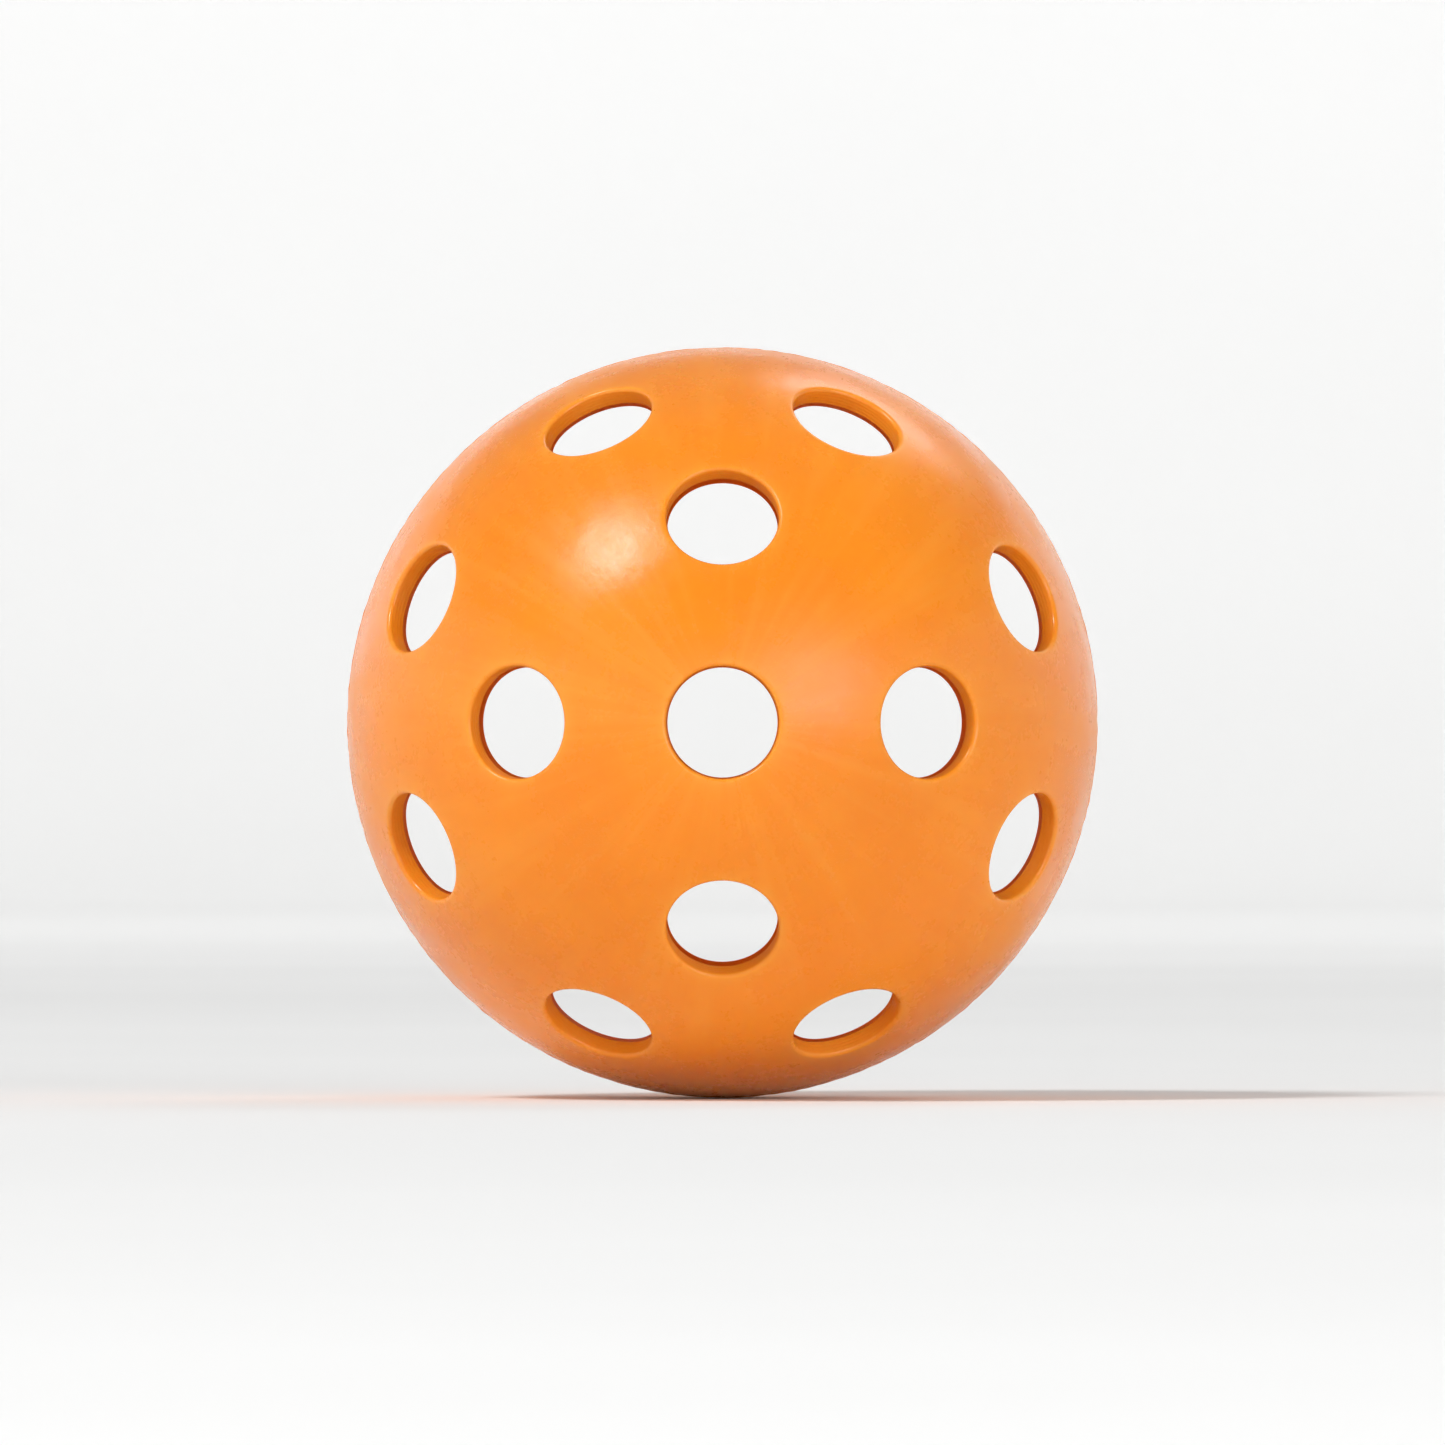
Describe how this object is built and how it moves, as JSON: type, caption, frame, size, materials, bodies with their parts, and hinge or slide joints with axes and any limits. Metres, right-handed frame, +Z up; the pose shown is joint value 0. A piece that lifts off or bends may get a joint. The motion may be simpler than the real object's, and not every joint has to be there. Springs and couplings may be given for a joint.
{
  "type": "pickleball ball",
  "caption": "Hollow perforated plastic pickleball ball made of two moulded half shells, lapped and welded together at the equator.",
  "frame": {"origin": "centre of the ball", "axes": "+Y along the pole axis, from the front pole hole (-Y) to the rear pole hole (+Y); the weld seam is the great circle in the XZ plane; +Z up; +X to the right of a viewer who faces the front pole hole"},
  "size_m": [0.0742, 0.073, 0.0742],
  "materials": {
    "shell": "satin",
    "weld": "satin"
  },
  "bodies": {
    "root": {"front_half_shell": "shell", "rear_half_shell": "shell", "weld_seam": "weld"}
  },
  "joints": []
}
